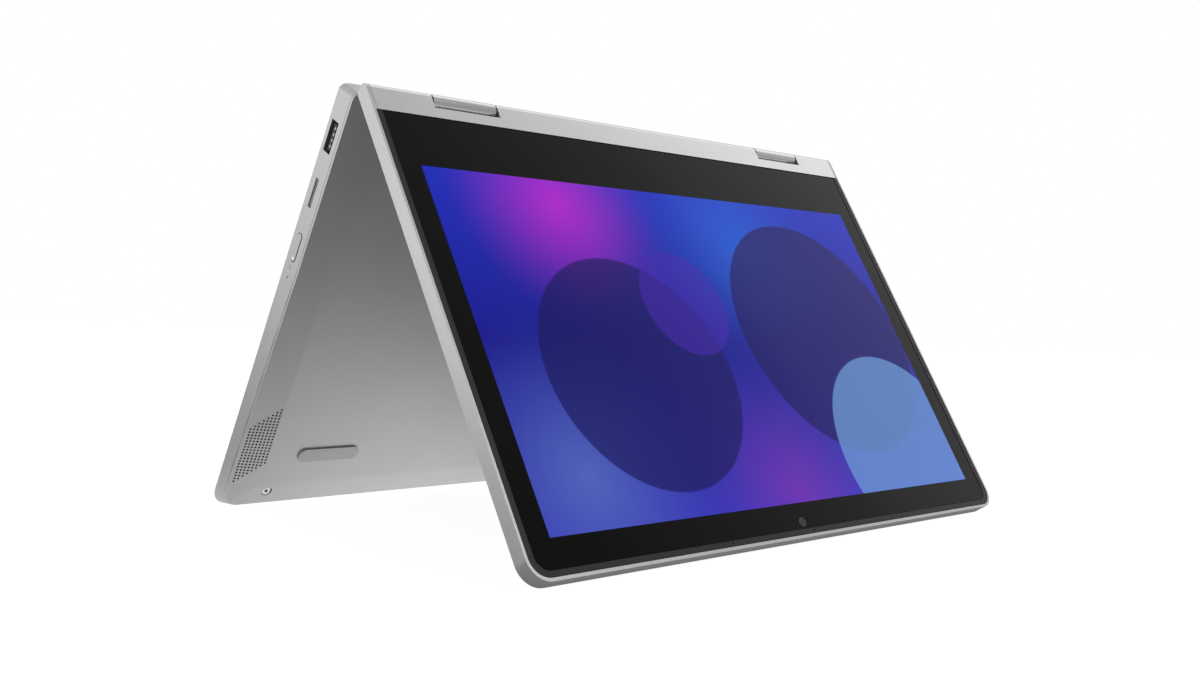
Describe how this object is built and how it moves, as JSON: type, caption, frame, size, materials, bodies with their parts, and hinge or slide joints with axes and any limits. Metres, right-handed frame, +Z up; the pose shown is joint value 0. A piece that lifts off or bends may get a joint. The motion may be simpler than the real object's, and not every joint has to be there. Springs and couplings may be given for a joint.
{
  "type": "convertible laptop computer",
  "caption": "Slim fanless convertible laptop on two coupled hinges, standing as a tent, with touch screen, keyboard, touchpad and side sockets.",
  "frame": {"origin": "on the floor, under the middle of the tent's bounding box", "axes": "+X across the laptop to the right when facing the screen, -Y the side that the screen faces, +Z up"},
  "size_m": [0.2826, 0.209, 0.1693],
  "materials": {
    "shell_silver": "fine blasted satin silver",
    "strip_silver": "satin silver",
    "hinge_metal": "satin",
    "steel": "satin",
    "socket_metal": "satin",
    "black_plastic": "matte",
    "key_plastic": "fine matte",
    "touchpad_silver": "smooth satin",
    "membrane_film": "film",
    "circuit_board": "solder mask",
    "chip_black": "matte",
    "copper": "satin",
    "foot_rubber": "matte rubber",
    "bezel_grey": "matte",
    "screen_glass": "gloss, black printed border",
    "display_stack": "backlit panel",
    "lens_black": "gloss"
  },
  "bodies": {
    "base": {"bottom_cover": "shell_silver", "keyboard_deck": "shell_silver", "keyboard_backplate": "steel", "key_membrane": "membrane_film", "touchpad_bracket": "steel", "mainboard": "circuit_board", "processor": "chip_black", "heat_spreader": "copper", "memory_chips": "chip_black", "storage_module": "circuit_board", "wireless_card": "circuit_board", "battery_pack": "black_plastic", "speaker_left": "black_plastic", "speaker_right": "black_plastic", "connector_board": "circuit_board", "ribbon_cable": "membrane_film", "usb_socket_right": "socket_metal", "card_slot": "socket_metal", "power_inlet": "black_plastic", "hdmi_socket": "socket_metal", "usb_socket_left": "socket_metal", "usb_c_socket": "socket_metal", "audio_jack": "black_plastic", "front_feet": "foot_rubber", "rear_foot": "foot_rubber", "bottom_screws": "steel", "board_screws": "steel", "base_hinge_bracket_left": "steel", "base_hinge_bracket_right": "steel"},
    "power_button": {"power_button": "shell_silver"},
    "touchpad": {"touchpad": "touchpad_silver"},
    "space_bar": {"space_bar": "key_plastic"},
    "enter_key": {"enter_key": "key_plastic"},
    "backspace_key": {"backspace_key": "key_plastic"},
    "function_keys": {"function_keys": "key_plastic"},
    "number_keys": {"number_keys": "key_plastic"},
    "top_letter_keys": {"top_letter_keys": "key_plastic"},
    "home_letter_keys": {"home_letter_keys": "key_plastic"},
    "bottom_letter_keys": {"bottom_letter_keys": "key_plastic"},
    "modifier_keys": {"modifier_keys": "key_plastic"},
    "hinge_link": {"hinge_barrel_left": "hinge_metal", "hinge_barrel_right": "hinge_metal", "base_hinge_shafts": "steel", "lid_hinge_shafts": "steel", "friction_washers": "steel"},
    "lid": {"lid_back_cover": "shell_silver", "hinge_strip": "strip_silver", "bezel_ring": "bezel_grey", "touch_glass": "screen_glass", "display_panel": "display_stack", "lid_hinge_bracket_left": "steel", "lid_hinge_bracket_right": "steel", "camera_module": "circuit_board", "camera_lens": "lens_black", "microphone_board": "circuit_board", "display_cable": "membrane_film", "antennas": "copper", "lid_screws": "steel"}
  },
  "joints": [
    {"name": "base_hinge", "type": "hinge", "parent": "base", "child": "hinge_link", "pos_m": [0, 0.00732, 0.16453], "axis": [1, 0, 0], "range_deg": [-150, 30]},
    {"name": "lid_hinge", "type": "hinge", "parent": "hinge_link", "child": "lid", "pos_m": [0, -0.00273, 0.16476], "axis": [1, 0, 0], "range_deg": [-150, 30]},
    {"name": "power_button_press", "type": "slide", "parent": "base", "child": "power_button", "axis": [1, 0, 0], "range_m": [0, 0.0005], "stiffness_N_per_m": 600},
    {"name": "touchpad_click", "type": "hinge", "parent": "base", "child": "touchpad", "pos_m": [0, 0.07199, 0.05766], "axis": [-1, 0, 0], "range_deg": [0, 0.4922], "stiffness_Nm_per_rad": 8},
    {"name": "space_bar_press", "type": "slide", "parent": "base", "child": "space_bar", "axis": [0, -0.8771, -0.4802], "range_m": [0, 0.0011], "stiffness_N_per_m": 500},
    {"name": "enter_key_press", "type": "slide", "parent": "base", "child": "enter_key", "axis": [0, -0.8771, -0.4802], "range_m": [0, 0.0011], "stiffness_N_per_m": 500},
    {"name": "backspace_key_press", "type": "slide", "parent": "base", "child": "backspace_key", "axis": [0, -0.8771, -0.4802], "range_m": [0, 0.0011], "stiffness_N_per_m": 500},
    {"name": "function_keys_press", "type": "slide", "parent": "base", "child": "function_keys", "axis": [0, -0.8771, -0.4802], "range_m": [0, 0.0011], "stiffness_N_per_m": 1200},
    {"name": "number_keys_press", "type": "slide", "parent": "base", "child": "number_keys", "axis": [0, -0.8771, -0.4802], "range_m": [0, 0.0011], "stiffness_N_per_m": 1200},
    {"name": "top_letter_keys_press", "type": "slide", "parent": "base", "child": "top_letter_keys", "axis": [0, -0.8771, -0.4802], "range_m": [0, 0.0011], "stiffness_N_per_m": 1200},
    {"name": "home_letter_keys_press", "type": "slide", "parent": "base", "child": "home_letter_keys", "axis": [0, -0.8771, -0.4802], "range_m": [0, 0.0011], "stiffness_N_per_m": 1200},
    {"name": "bottom_letter_keys_press", "type": "slide", "parent": "base", "child": "bottom_letter_keys", "axis": [0, -0.8771, -0.4802], "range_m": [0, 0.0011], "stiffness_N_per_m": 1200},
    {"name": "modifier_keys_press", "type": "slide", "parent": "base", "child": "modifier_keys", "axis": [0, -0.8771, -0.4802], "range_m": [0, 0.0011], "stiffness_N_per_m": 1200}
  ],
  "couplings": [
    {"joint": "lid_hinge", "follows": "base_hinge", "ratio": 1}
  ]
}
